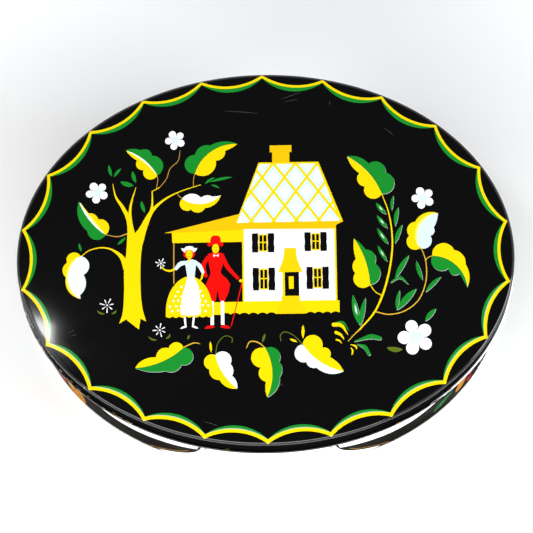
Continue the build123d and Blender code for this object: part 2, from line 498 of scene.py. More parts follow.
def roof(art):
    """A steep roof of diamond panes between yellow lattice bars, with a chimney."""
    art.add("deep_yellow", box_loop(4.1, 48, 12.8, 54.0), box_loop(2.9, 53.8, 13.9, 57.4))
    art.add("yellow", [(-14.6, 16.9), (39.2, 17.2), (27.4, 48.4), (-2.8, 48.4)])
    inside = np.array([(-14.0, 17.0), (37.6, 17.3), (26.6, 47.5), (-2.3, 47.5)])
    pitch, slope, first, row = 11.3, 1.33, -1.1, 33.0
    bar = 1.3 * math.hypot(1, slope) / slope / 2
    rng = random.Random(11)
    for j in range(-3, 4):
        for k in range(-3, 6):
            x = first + pitch * (k + 0.5 * (j % 2))
            y = row + pitch * slope / 2 * j
            wide = pitch / 2 - bar
            for ink, share in (("ice", 1.0), ("mist", 0.66)):
                w, h = wide * share, wide * share * slope
                shape = clip([(x + w, y), (x, y + h), (x - w, y), (x, y - h)], inside)
                if len(shape) > 2:
                    art.add(ink, shape)
            for _ in range(9):
                spot = (x + rng.gauss(0, 0.9), y + rng.gauss(0, 1.1))
                size = rng.uniform(0.25, 0.7)
                shape = clip(oval_loop(spot, size, size, count=7), inside)
                if len(shape) > 2:
                    art.add("white", shape)


def window_pair(art, left, low, high):
    """A window in a yellow frame between two black shutters."""
    for x0, x1 in ((left, left + 3.0), (left + 7.9, left + 11.0)):
        wave = [0.0, 0.16, -0.08, 0.14, 0.0]
        ys = np.linspace(low, high, 5)
        right = [(x1 + w, y) for w, y in zip(wave, ys)]
        art.add("black", right + [(x0 - w, y) for w, y in zip(wave[::-1], ys[::-1])])
    x0, x1, y0, y1 = left + 3.2, left + 7.7, low + 0.4, high - 0.5
    art.add("yellow", box_loop(x0, y0, x1, y1))
    middle, split = (x0 + x1) / 2, (y0 + y1) / 2 + 0.3
    for a, b in ((x0 + 0.55, middle - 0.3), (middle + 0.3, x1 - 0.55)):
        art.add("black", box_loop(a, y0 + 0.6, b, split - 0.3), box_loop(a, split + 0.3, b, y1 - 0.6))


def house(art):
    scallops = []
    for start, end, count in ((-27, -22, 1), (-22, 5, 6), (5, 20, 1), (20, 36.6, 4)):
        lift = 0.85 if count > 1 else 0.0
        for k in range(count):
            a = start + (end - start) * k / count
            b = start + (end - start) * (k + 1) / count
            scallops += arc((a, -30.1), (b, -30.1), lift)
    art.add("yellow", scallops + [(36.6, -29.9), (36.6, -23.7), (-27, -23.7), (-27, -29.9)])
    art.add("yellow", box_loop(-11.5, -23.7, 35.6, 14.2))
    art.add("white", box_loop(-10.6, -23.5, 34.7, 14.1))
    bracket = smooth([(35.2, 13.2), (35.8, 15.2), (37.3, 16.0), (39.2, 16.9)])
    art.add("deep_yellow", [(-10.7, 13.7)] + list(bracket) + [(39.2, 17.3), (-14.2, 17.0)])
    art.add("deep_yellow", [(-50.6, 12.2), (-10.8, 13.2), (-10.8, 17.0), (-14.4, 17.0), (-12.8, 21.6)])
    art.add("yellow", [(-46.7, 12.4), (-46.4, 7.0), (-10.8, 7.1), (-10.8, 13.3)])
    art.add("gold", box_loop(-46.0, -14, -45.4, 7.2))
    roof(art)
    window_pair(art, -6.5, 1.5, 11.4)
    window_pair(art, 19.8, 1.8, 11.6)
    window_pair(art, -6.3, -18.0, -6.4)
    window_pair(art, 20.5, -17.7, -6.3)
    art.add("yellow", box_loop(8.4, -21.2, 9.7, -8.8))
    hood = smooth([(15.3, 3.6), (16.1, -2.5), (18.6, -8.8)])
    other = smooth([(6.3, -8.8), (8.8, -2.5), (9.6, 3.6)])
    art.add("step_yellow", list(hood) + list(other))
    art.add("black", box_loop(9.6, -21.0, 16.7, -8.8))
    art.add("yellow", box_loop(11.6, -17.4, 14.0, -11.0))
    art.add("step_yellow", box_loop(7.9, -23.7, 17.0, -21.0), box_loop(7.2, -26.2, 17.8, -23.6),
            box_loop(5.6, -30.1, 20.0, -26.1))


# ---- The couple: small flat figures with plain faces


def plain_face(art, centre, wide, high):
    art.add("yellow", oval_loop(centre, wide, high, count=18))
    x, y = centre
    for side in (-1, 1):
        art.add("brown", oval_loop((x + 0.38 * wide * side, y + 0.18 * high), 0.24, 0.17, count=6))
    mouth = [(x - 0.34 * wide, y - 0.42 * high), (x, y - 0.54 * high), (x + 0.34 * wide, y - 0.42 * high)]
    art.add("red", ribbon(mouth, [0.12, 0.3, 0.12], 3))


def lady(art):
    hem = []
    left, scallop = -49.8, 3.36
    for k in range(7):
        hem += arc((left + scallop * k, -30.6), (left + scallop * (k + 1), -30.6), -0.75)
    dome = smooth([(-26.3, -30.6), (-26.7, -24), (-29.0, -17), (-32.4, -12.6), (-35.4, -10.5)])
    other = smooth([(-40, -10.5), (-43.7, -12.8), (-47.3, -17.5), (-49.4, -24), (left, -30.6)])
    art.add("yellow", hem + list(dome) + list(other[:-1]))
    rng = random.Random(4)
    for j in range(8):
        for k in range(10):
            x = -49 + 2.75 * k + 1.4 * (j % 2) + rng.uniform(-0.3, 0.3)
            y = -12.9 - 2.5 * j + rng.uniform(-0.3, 0.3)
            if ((x + 38) / 10.8) ** 2 + ((y + 31) / 19.4) ** 2 < 0.92 and y > -29.8:
                art.add("white", oval_loop((x, y), 0.56, 0.56, count=8))
    for x, out in ((-39.9, -1), (-36.3, 1)):
        stocking = [(x + 0.5 * out, -30.8), (x, -35.6), (x - 0.2 * out, -36.2)]
        art.add("white", ribbon(stocking, [1.1, 0.9, 0.8], 3))
        art.add("white", blade((x - 0.7 * out, -36.0), (x + 2.7 * out, -37.0), 1.0, 0.3 * out))
    forearm = [(-44.3, -5.9), (-47.6, -7.3), (-50.6, -6.5), (-51.7, -4.9)]
    art.add("yellow", ribbon(forearm, [1.2, 1.0, 0.7, 0.5]))
    art.add("yellow", ribbon([(-31.2, -8.4), (-31.8, -11.2), (-32.9, -12.8)], [1.1, 0.9, 0.5]))
    art.add("ice", ribbon([(-39.2, -3.2), (-42.4, -3.8), (-45, -6.6)], [2.0, 2.3, 1.6]))
    art.add("ice", ribbon([(-34.8, -3.2), (-32.8, -5), (-31, -8.8)], [2.0, 2.1, 1.5]))
    art.add("ice", list(smooth([(-34.4, -2.2), (-34.8, -6), (-35.3, -10.6)]))
            + list(smooth([(-39.0, -10.6), (-39.7, -6), (-40.2, -2.5)])) + [(-38.2, -1.7), (-36.4, -1.5)])
    apron_right = smooth([(-35.7, -10.4), (-33.7, -15), (-32.6, -22), (-32.5, -29.6)])
    apron_left = smooth([(-42.4, -29.6), (-41.8, -22), (-40, -15), (-38.8, -10.4)])
    art.add("white", list(apron_right) + arc((-32.5, -29.6), (-42.4, -29.6), 0.7) + list(apron_left))
    art.add("red", oval_loop((-38, 1.2), 2.9, 2.4))
    plain_face(art, (-38, 1.1), 1.7, 2.3)
    bonnet = [(-35.2, 2.6), (-35.4, 4.2), (-36.6, 5.2), (-39.2, 5.2), (-40.4, 4.2), (-40.7, 2.6), (-38, 3.5)]
    art.add("white", smooth(bonnet, closed=True, per=4))
    for side in (-1, 1):
        art.add("white", blade((-38 + 1.9 * side, 2.0), (-38 + 4.0 * side, 4.3), 1.3, 0.2 * side))
    art.add("yellow", ribbon([(-38, -1.0), (-38, -2.7)], [1.3, 1.0], 3))


def gentleman(art):
    for x in (-26.7, -21.5):
        art.add("white", box_loop(x - 0.85, -35.3, x + 0.85, -22.6))
    art.add("red", blade((-25.3, -36.3), (-30.6, -37.0), 1.7, -0.4))
    art.add("red", blade((-22.9, -36.3), (-17.6, -37.0), 1.7, 0.4))
    outer = smooth([(-17.6, -14.2), (-18.4, -18.5), (-20.4, -23.1)])
    inner = smooth([(-28.3, -23.1), (-29.3, -18.8), (-29.7, -14.2)])
    art.add("red", list(outer) + [(-22.9, -23.1), (-24.0, -17.6), (-24.9, -23.1)] + list(inner))
    art.add("red", ribbon([(-11.6, -13.4), (-14.2, -24), (-17.3, -36)], [0.6, 0.5, 0.5]))
    art.add("yellow", oval_loop((-12.3, -12.9), 0.9, 0.8, count=12))
    right = smooth([(-20.7, 1.2), (-21.0, -4), (-22.2, -8.6), (-19.2, -11.8), (-17.4, -15)])
    left = smooth([(-29.9, -15), (-28.6, -11.8), (-27.4, -8.6), (-28.2, -4), (-28.6, 1.2)])
    art.add("red", list(right) + list(left) + [(-25.9, 1.9), (-23.5, 1.9)])
    art.add("red", ribbon([(-28.2, -0.1), (-30.9, -4.9), (-29.6, -10.8)], [2.0, 2.2, 1.6]))
    art.add("red", ribbon([(-21.4, -0.1), (-18.8, -5.8), (-13.4, -12.0)], [2.0, 2.2, 1.5]))
    for side in (-1, 1):
        bow = [(-24.6, 0.3), (-24.6 + 1.35 * side, 1.0), (-24.6 + 1.2 * side, -0.5)]
        art.add("white", bow[::side])
    plain_face(art, (-24.8, 3.9), 1.8, 2.5)
    brim = [(-20.8, 6.4), (-21.7, 4.9), (-24.8, 6.2), (-28, 4.9), (-28.9, 6.4), (-27.1, 7.3), (-22.6, 7.3)]
    crown = [(-22.6, 6.8), (-22.4, 9.3), (-23.6, 10.5), (-25.9, 10.5), (-27.2, 9.3), (-27, 6.8)]
    for shape in (brim, crown):
        art.add("red", smooth(shape, closed=True, per=4))


def scratches(art):
    """A few fine scratches through the lacquer."""
    for line in (
        [(-98.5, -38.5), (-95, -36.8)], [(-97, -40), (-94.5, -39.2)], [(9, 82), (19, 85.6)],
        [(11, 80.6), (17.5, 81.8)], [(33.5, 78.5), (33.7, 80.6)], [(-31, -84), (-24, -86.4)],
        [(61, 66), (66, 61.5)], [(4, -64), (8, -66.5)], [(-3, 74.6), (-20, 76.2)],
    ):
        (x0, y0), (x1, y1) = line
        middle = ((x0 + x1) / 2 + 0.2, (y0 + y1) / 2 + 0.15)
        art.add("scratch", ribbon([(x0, y0), middle, (x1, y1)], [0.05, 0.16, 0.05], 3))


def lid_art():
    """The whole print of the lid. All but the border is drawn as it looks from the camera at the
    shoulder's height, so it is moved forward on the dome by as much as the dome lifts it."""
    art = Print()
    lid_border(art)
    framed = len(art.loops)
    lid_leaves(art)
    lid_flowers(art)
    tree(art)
    plant(art)
    front_row(art)
    house(art)
    gentleman(art)
    lady(art)
    daisy(art, (-52.2, -3.4), 2.8, 7)
    scratches(art)
    for k in range(framed, len(art.loops)):
        loop = art.loops[k]
        art.loops[k] = loop - np.outer(dome_height(loop), vec(0, math.tan(VIEW_TILT)))
    return art


# ---- The body's print, drawn on the wall unrolled: distance from the front's middle, and height


def heart(middle, wide, high):
    x, y = middle
    half = smooth([(x, y - high / 2), (x + wide * 0.32, y - high * 0.12), (x + wide / 2, y + high * 0.2),
                   (x + wide * 0.27, y + high / 2), (x, y + high * 0.27)])
    other = [(2 * x - p[0], p[1]) for p in half[::-1]][1:-1]
    return list(half) + other


def tulip(art, x, foot, high):
    """A stem with two leaves, and a flower of three petals."""
    neck = foot + high * 0.55
    art.add("gold", ribbon([(x, foot), (x, neck)], [0.9, 0.9], 3))
    for side in (-1, 1):
        tip = (x + side * high * 0.2, neck)
        art.add("green", blade((x, foot + 1), tip, high * 0.08, side * high * 0.06))
    top = foot + high
    wide = high * 0.17
    art.add("red", blade((x, neck), (x, top), wide * 1.3))
    for side in (-1, 1):
        end = (x + side * wide * 1.25, top)
        cup = smooth([(x, neck), (x + side * wide, neck + high * 0.07), end])
        back = smooth([end, (x + side * wide * 0.35, top - high * 0.16), (x, neck)])
        art.add("yellow", list(cup) + list(back)[1:-1])


def body_quarter(place, front, right):
    """A quarter of the body's print: half the plain white label, a white swag under the lid, and the
    dark field beside them with its pictures."""
    art = Print()
    low, high = WALL_FOOT, WALL_TOP
    label = smooth([(62.5, low), (54, 8), (45, 18), (39.4, 28), (36.2, 38), (32.4, 60)])
    if right:
        swag = [(36.8, 40), (46, 36), (56, 33), (66, 31.6), (76, 33), (85.5, 39), (93, 46.5), (100, 53)]
        rest = [(100, 53), (112, 57.5), (128, 59.5), (148, 61), (150, 70), (150, high)]
    else:
        swag = [(36.8, 41), (46, 37.5), (56, 35.3), (66, 34), (77, 34.8), (86, 38.5), (93, 46), (98.5, 57)]
        rest = [(98.5, 57), (100, 63), (101, 70), (101, high)]
    swag = smooth(swag)
    edge = list(label) + [(34.2, 60)] + list(swag) + list(smooth(rest)[1:])
    art.add("white", edge + [(0, high), (0, low)])
    art.add("brown", ribbon([(28.6, 60), (31.6, 50), (33.6, 41)], [0.9, 0.9, 0.2]))
    art.add("gold", ribbon([(64.8, 3), (56.2, 10.4), (47, 20.4), (41.8, 29.5)], [0.6, 0.6, 0.6, 0.3]))
    art.add("brown", ribbon([p - vec(0, 0.5) for p in swag[::6][:-1]], [0.9] * 7, 4))
    if right:
        art.add("dark_green", blade((93, 8), (104, 38), 5.5, 2.5))
        art.add("green", blade((96.5, 12), (104, 33), 1.6, 2.2))
        column = [(107.5, 14), (112.5, 13), (113.5, 30), (113, 52), (108, 52), (107, 30)]
        art.add("amber", smooth(column, closed=True))
        art.add("red", heart((117.5, 34), 4.5, 17), heart((118.5, 12), 5, 9))
        bloom(art, (127, 36), 6.6, 0.3)
        bloom(art, (133, 14), 4.6, 0.8)
        art.add("green", blade((140, 8), (149, 46), 8.5, -2.5))
        art.add("white", blade((142.5, 14), (148.5, 38), 1.3, -2.2))
    else:
        column = [(106, 3), (115.5, 2.5), (117, 30), (115.5, 58), (105, 58), (104.5, 30)]
        art.add("amber", smooth(column, closed=True))
        art.add("black", blade((108, 8), (110, 40), 1.0, 1.5), blade((113, 14), (109, 54), 0.9, 1.2))
        art.add("red", heart((122, 40), 7.5, 22), heart((122, 12), 6, 9))
        art.add("green", blade((128, 8), (139, 46), 8.5, 2.5))
        art.add("white", blade((132, 14), (138.5, 38), 1.3, 2.2))
        bloom(art, (150, 35), 6.4, 0.5)
        daisy(art, (149, 15), 5.0)
    if front:
        tulip(art, BODY_OVAL.length / 4, 7, 46)
    art.loops = [np.array([place(x, z) for x, z in loop]) for loop in art.loops]
    return art


def body_art():
    half = BODY_OVAL.length / 2
    art = Print()
    for front in (True, False):
        for side in (-1, 1):
            def place(x, z, front=front, side=side):
                return (side * x if front else side * (half - x), z)
            quarter = body_quarter(place, front, side > 0)
            art.inks += ["wall_" + ink for ink in quarter.inks]
            art.loops += quarter.loops
    for side in (-1, 1):
        line = box_loop(half - SIDE_LINE, WALL_FOOT, half, WALL_TOP)
        art.add("bare", line * (side, 1))
    return art


# ---- Meshes


class Skin:
    """A mesh being put together: points with their normals, and faces with an ink each."""

    def __init__(self):
        self.points, self.normals, self.faces, self.inks = [], [], [], []

    def put(self, points, normals):
        first = len(self.points)
        self.points += list(points)
        self.normals += list(normals)
        return np.arange(first, len(self.points))

    def cover(self, faces, inks):
        self.faces += [tuple(int(k) for k in face) for face in faces]
        self.inks += list(inks)


def winding(loop, points):
    """How many times a loop goes round each point."""
    ax, ay = loop[:, :1], loop[:, 1:]
    bx, by = np.roll(ax, -1, 0), np.roll(ay, -1, 0)
    px, py = points[:, 0], points[:, 1]
    side = (bx - ax) * (py - ay) - (px - ax) * (by - ay)
    up = (ay <= py) & (by > py) & (side > 0)
    down = (ay > py) & (by <= py) & (side < 0)
    return (up.astype(int) - down.astype(int)).sum(0)


def cut_sheet(outline, lines, spots, art, ground):
    """Triangles of a flat sheet, cut along its print. Returns the points, the triangles, the ink of
    each triangle, and where each outline point went."""
    points, edges = [], []
    for loop, closed in [(outline, True)] + lines + [(loop, True) for loop in art.loops]:
        first = len(points)
        points += [Vector((float(p[0]), float(p[1]))) for p in loop]
        edges += [(k, k + 1) for k in range(first, len(points) - 1)]
        if closed:
            edges.append((len(points) - 1, first))
    points += [Vector((float(p[0]), float(p[1]))) for p in spots]
    flat, _, faces, sources = delaunay_2d_cdt(points, edges, [], 1, 1e-4)[:4]
    flat, faces = np.array(flat), np.array(faces)
    a, b, c = (flat[faces[:, k]] for k in range(3))
    area = (b[:, 0] - a[:, 0]) * (c[:, 1] - a[:, 1]) - (c[:, 0] - a[:, 0]) * (b[:, 1] - a[:, 1])
    faces[area < 0] = faces[area < 0][:, ::-1]
    middles = flat[faces].mean(1)
    inside = winding(np.array(outline, float), middles) != 0
    faces, middles = faces[inside], middles[inside]
    inks = np.array([ground] * len(faces), dtype=object)
    for ink, loop in zip(art.inks, art.loops):
        near = np.flatnonzero(((middles > loop.min(0)) & (middles < loop.max(0))).all(1))
        inks[near[winding(loop, middles[near]) != 0]] = ink
    home = {}
    for k, came_from in enumerate(sources):
        for source in came_from:
            home[source] = k
    return flat, faces, inks, np.array([home[k] for k in range(len(outline))])


def hexagonal(half_x, half_y, pitch):
    """A honeycomb of points inside an ellipse."""
    spots = []
    rise = pitch * math.sqrt(3) / 2
    rows = int(half_y / rise) + 1
    for j in range(-rows, rows + 1):
        count = int(half_x / pitch) + 1
        for k in range(-count, count + 1):
            x, y = pitch * (k + 0.5 * (j % 2)), rise * j
            if (x / half_x) ** 2 + (y / half_y) ** 2 < 1:
                spots.append((x, y))
    return spots


def unit(vectors):
    return vectors / np.maximum(np.linalg.norm(vectors, axis=-1, keepdims=True), 1e-12)


def dome_height(points):
    """How far the lid's top stands over the shoulder's height, or under it at the rounded rim."""
    points = np.asarray(points, float)
    u = 1 - (points[:, 0] / (LID_A - DOME_MARGIN)) ** 2 - (points[:, 1] / (LID_B - DOME_MARGIN)) ** 2
    u = np.clip(u, 0, 1)
    inset = LID_OVAL.inset(points)
    short = np.clip(SHOULDER - inset, 0, SHOULDER)
    cap = (DOME_RISE - RIM_ROLL) * (1 + DOME_SOFT) * u**2 / (u + DOME_SOFT)
    cap += RIM_ROLL * (1 - np.exp(-inset / RIM_FADE))
    return cap + np.sqrt(SHOULDER**2 - short**2) - SHOULDER


def flat_height(points):
    return np.zeros(len(points))


def panel(skin, rim, ring_offset, level, height, art, ground, rings=(), pitch=4.5, down=False):
    """A lid's or base's panel inside a rim of the skin's points. ring_offset is the rim's place
    beside the oval rim[1], and rings are more ovals cut into it."""
    ids, oval, distances = rim
    points, normals = oval.at(distances)
    outline = points + normals * ring_offset
    lines = [(points - normals * inset, True) for inset in rings]
    inner = max(rings, default=-ring_offset) + pitch * 0.7
    spots = hexagonal(oval.a - inner, oval.b - inner, pitch)
    flat, faces, inks, edge = cut_sheet(outline, lines, spots, art, ground)
    small = 0.01
    z = level + height(flat)
    slope_x = (height(flat + vec(small, 0)) - height(flat - vec(small, 0))) / (2 * small)
    slope_y = (height(flat + vec(0, small)) - height(flat - vec(0, small))) / (2 * small)
    facing = unit(np.stack([-slope_x, -slope_y, np.ones(len(flat))], -1)) * (-1 if down else 1)
    names = skin.put(np.column_stack([flat, z]), facing)
    names[edge] = ids
    shown = names[faces]
    skin.cover(shown[:, ::-1] if down else shown, inks)


def turned(centre, radius, start, end, steps=8):
    """Points of an arc in a wall's section, between two angles in degrees."""
    a = np.radians(np.linspace(start, end, steps + 1))
    return [(centre[0] + radius * math.cos(t), centre[1] + radius * math.sin(t)) for t in a]


def left_of(section):
    """The unit normals to the left of a section line."""
    run = np.diff(np.array(section, float), axis=0)
    side = unit(np.stack([-run[:, 1], run[:, 0]], -1))
    return unit(np.vstack([side[:1], side[:-1] + side[1:], side[-1:]]))


def ring(oval, distances, offset, z, normal):
    """A ring of points beside an oval and their normals, at an offset for each place, at a height."""
    points, out = oval.at(distances)
    place = points + out * np.reshape(offset, (-1, 1))
    level = np.ones(len(place))
    return np.column_stack([place, level * z]), np.column_stack([out * normal[0], level * normal[1]])


def sweep(skin, oval, distances, section, ink, first=None, last=None, lap=None):
    """Takes a section round an oval. first and last are rings of the skin's points to join to. lap is
    how many of the first rings are moved inwards, and by how much at each place round the oval."""
    normals = left_of(section)
    rings = []
    for k, ((offset, z), normal) in enumerate(zip(section, normals)):
        if k == 0 and first is not None:
            rings.append(first)
        elif k == len(section) - 1 and last is not None:
            rings.append(last)
        else:
            shift = lap[1] if lap and k < lap[0] else np.zeros(len(distances))
            rings.append(skin.put(*ring(oval, distances, offset - shift, z, normal)))
    for above, below in zip(rings, rings[1:]):
        nxt, under = np.roll(above, -1), np.roll(below, -1)
        skin.cover(np.column_stack([above, below, under, nxt]), [ink] * len(above))
    return rings


def wrapped(skin, oval, distances, section, art, ground, dip=None):
    """The outside of a wall, cut along its print. section runs from the top down. art is drawn on the
    wall unrolled: distance round the oval, and depth below the section's start as a negative number.
    dip moves the wall out or in, by a distance for each place round the oval."""
    half = oval.length / 2
    columns = np.append(distances, half)
    section = np.array(section, float)
    steps = np.hypot(*np.diff(section, axis=0).T)
    depth = np.concatenate([[0], np.cumsum(steps)])
    normals = left_of(section)
    bottom = -depth[-1]
    outline = [(x, bottom) for x in columns] + [(x, 0.0) for x in columns[::-1]]
    lines = [([(x, bottom), (x, 0.0)], False) for x in columns[1:-1]]
    lines += [([(-half, -t), (half, -t)], False) for t in depth[1:-1]]
    flat, faces, inks, edge = cut_sheet(outline, lines, [], art, ground)
    offset = np.interp(-flat[:, 1], depth, section[:, 0])
    if dip:
        offset = offset + dip(flat[:, 0])
    z = np.interp(-flat[:, 1], depth, section[:, 1])
    lean = unit(np.stack([np.interp(-flat[:, 1], depth, normals[:, k]) for k in (0, 1)], -1))
    points, out = oval.at(flat[:, 0])
    place = np.column_stack([points + out * offset[:, None], z])
    facing = np.column_stack([out * lean[:, :1], lean[:, 1]])
    names = skin.put(place, facing)
    starts = np.flatnonzero(flat[:, 0] < -half + 1e-3)
    ends = np.flatnonzero(flat[:, 0] > half - 1e-3)
    for k in ends:
        twin = starts[np.argmin(np.abs(flat[starts, 1] - flat[k, 1]))]
        names[k] = names[twin]
    skin.cover(names[faces], inks)
    count = len(columns)
    return names[edge[count:][::-1]][:-1], names[edge[:count]][:-1]


def piece(name, skin, body, node):
    """Makes the object, and puts it on its body in the frame."""
    used = sorted(set(skin.inks))
    joined = [tuple(dict.fromkeys(face)) for face in skin.faces]
    keep = [k for k, face in enumerate(joined) if len(face) > 2]
    live = sorted({point for k in keep for point in joined[k]})
    new = {old: k for k, old in enumerate(live)}
    mesh = bpy.data.meshes.new(name)
    points = np.array(skin.points)[live] * MM
    mesh.from_pydata(points.tolist(), [], [[new[p] for p in joined[k]] for k in keep])
    for ink in used:
        mesh.materials.append(ink_material(ink))
    order = {ink: k for k, ink in enumerate(used)}
    mesh.polygons.foreach_set("material_index", [order[skin.inks[k]] for k in keep])
    mesh.polygons.foreach_set("use_smooth", [True] * len(keep))
    mesh.update()
    mesh.normals_split_custom_set_from_vertices(np.array(skin.normals)[live].tolist())
    obj = bpy.data.objects.new(name, mesh)
    bpy.context.scene.collection.objects.link(obj)
    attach(obj, body)
    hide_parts(node)
    return obj


# ---- The three pieces

WALL_FOOT = 0.8
WALL_TOP = BODY_HIGH[2] - MOUTH_CURL
WORN = ["bare", "gold", "undercoat"]  # what shows where the lacquer is knocked off


def even(oval, extra=()):
    """Places round an oval, from the middle of the back, with extra ones near it."""
    half = oval.length / 2
    places = np.arange(AROUND) / AROUND * oval.length - half
    clear = max(extra, default=0) + 0.6
    kept = [p for p in places if half - abs(p) > clear or abs(p + half) < 1e-6]
    return np.array(sorted(kept + [-half + e for e in extra] + [half - e for e in extra]))


def shoulder_print():
    """The glossy lacquer on the upper shoulder, and small knocks down to the undercoat or the tin,
    most of them at the front left."""
    art = Print()
    rng = random.Random(7)
    half = LID_OVAL.length / 2
    art.add("black", box_loop(-half, -SHOULDER_GLOSS, half, 0))
    for _ in range(110):
        along = -rng.triangular(95, 190, 130)
        depth = rng.choice([rng.uniform(0.4, 2.2), rng.uniform(0.6, 12)])
        size = rng.choice([0.2, 0.3, 0.42])
        tall = size * rng.uniform(1.0, 2.6)
        art.add(rng.choice(WORN), oval_loop((along, -depth), size, tall, count=6))
    for _ in range(30):
        along = rng.uniform(5 - half, half - 5)
        size = rng.choice([0.1, 0.14])
        art.add("bare", oval_loop((along, -rng.uniform(0.3, 2.0)), size, size * 0.7, count=6))
    return art


def ink_curl(skin, first):
    """Inks the lid's rolled edge, whose faces start at first. It is lacquered black with worn specks,
    more of them at the front left, and at the front beyond x = 80 mm more and more of it is bare tin."""
    bare_from, bare_over = 80, 14
    rng = random.Random(5)
    for k in range(first, len(skin.inks)):
        x, y = np.mean([skin.points[i][:2] for i in skin.faces[k]], axis=0)
        rate = 0.08 if x < -60 and y < 0 else 0.012
        if y < 0 and rng.random() < (x - bare_from) / bare_over:
            skin.inks[k] = "edge"
        elif rng.random() < rate:
            skin.inks[k] = rng.choice(WORN)


def make_lid():
    skin = Skin()
    places = even(LID_OVAL)
    curl = LID_LOW[2] + LID_CURL
    start = math.degrees(math.acos((SHOULDER - PANEL_INSET) / SHOULDER))
    middle = (-SHOULDER, TOP - SHOULDER)
    outer = turned(middle, SHOULDER, start, 0, 7) + [(0, TOP - SHOULDER - 0.5)]
    outer += [(0, z) for z in np.linspace(TOP - 5, curl + 2.5, 3)] + [(0, curl + 0.5), (0, curl)]
    top_ring, low_ring = wrapped(skin, LID_OVAL, places, outer, shoulder_print(), "skirt")
    rings = (0.55, 0.9, 1.3, 1.7, 2.0, 2.6, 3.2, 5.0)
    panel(skin, (top_ring, LID_OVAL, places), -PANEL_INSET, TOP, dome_height, lid_art(), "black", rings)
    middle_of_curl = (LID_CURL_REACH - LID_CURL, curl)
    inner_curl = turned(middle_of_curl, LID_CURL - SHEET, 180, 485, 18)
    outer_curl = turned(middle_of_curl, LID_CURL, 485, 180, 24)
    inner_ring = sweep(skin, LID_OVAL, places, inner_curl, "edge", first=low_ring)[-1]
    first = len(skin.inks)
    outer_curl = inner_curl[-1:] + outer_curl
    curl_ring = sweep(skin, LID_OVAL, places, outer_curl, "black", first=inner_ring)[-1]
    ink_curl(skin, first)
    up = [(-SHEET, curl), (-SHEET, curl + 0.5), (-SHEET, TOP - SHOULDER - 0.5)]
    up += turned(middle, SHOULDER - SHEET, 0, 90, 7)
    last = sweep(skin, LID_OVAL, places, up, "tin", first=curl_ring)[-1]
    panel(skin, (last, LID_OVAL, places), -SHOULDER, TOP - SHEET, dome_height, Print(), "tin", (3.0, 5.0),
          pitch=7.0, down=True)
    return piece("lid_printed_shell", skin, "lid", "lid_shell")


def make_body():
    skin = Skin()
    half = BODY_OVAL.length / 2
    places = even(BODY_OVAL, (SIDE_LINE, LOCK_HALF - 0.05, LOCK_HALF + 0.15))
    outer = [(0.0, z) for z in np.linspace(WALL_TOP, WALL_FOOT, 14)]
    art = body_art()
    art.loops = [loop - vec(0, WALL_TOP) for loop in art.loops]

    def groove(distance):
        return np.where(np.abs(distance) > half - 1e-3, -SIDE_GROOVE, 0.0)

    top_ring, low_ring = wrapped(skin, BODY_OVAL, places, outer, art, "field", groove)
    lock = np.where(half - np.abs(places) < LOCK_HALF, LOCK_DEEP, 0.0)
    under_curl = WALL_TOP - MOUTH_CURL
    inside = [(-SHEET, z) for z in np.linspace(WALL_FOOT, under_curl - 0.05, 9)]
    lap = (len(inside), lock)
    inside += [(-SHEET, under_curl), (-SHEET, WALL_TOP - 0.2)]
    middle = (-MOUTH_CURL, WALL_TOP)
    curl_in = turned(middle, MOUTH_CURL - SHEET, 0, 306, 16)
    curl_out = turned(middle, MOUTH_CURL, 306, 0, 22)
    up = sweep(skin, BODY_OVAL, places, inside + curl_in[:1], "tin", lap=lap)
    sweep(skin, BODY_OVAL, places, curl_in + curl_out, "edge", first=up[-1], last=top_ring)
    foot = [(0, WALL_FOOT), (-SHEET, WALL_FOOT)]
    sweep(skin, BODY_OVAL, places, foot, "tin", first=low_ring, last=up[0])
    return piece("body_printed_wall", skin, "body", "body_wall")


def make_base():
    skin = Skin()
    places = even(BODY_OVAL)
    panel_top = BASE_RECESS + SHEET
    inside_edge, under_edge = -0.75, -0.95
    slot_in, slot_out, slot_low = -SHEET - 0.02, 0.02, 0.35
    section = [(inside_edge, panel_top)] + turned((slot_in - 0.15, panel_top - 0.15), 0.15, 90, 0, 4)
    section += [(slot_in, slot_low), (slot_out, slot_low)]
    section += turned((slot_out + 0.12, SEAM_HEIGHT - 0.12), 0.12, 180, 90, 3)
    section += turned((SEAM_REACH - 0.25, SEAM_HEIGHT - 0.25), 0.25, 90, 0, 6)
    section += turned((SEAM_REACH - 0.35, 0.35), 0.35, 0, -90, 7)
    section += turned((-0.35, 0.3), 0.3, 270, 180, 6)
    section += turned((under_edge, BASE_RECESS - 0.3), 0.3, 0, 90, 6)
    rings = sweep(skin, BODY_OVAL, places, section, "seam")
    faces = ((rings[0], inside_edge, panel_top, 2.0, False), (rings[-1], under_edge, BASE_RECESS, 2.2, True))
    for rim, offset, level, inset, down in faces:
        panel(skin, (rim, BODY_OVAL, places), offset, level, flat_height, Print(), "tin", (inset,),
              pitch=8.0, down=down)
    return piece("base_seamed_plate", skin, "body", "base_plate")


# ---- Materials

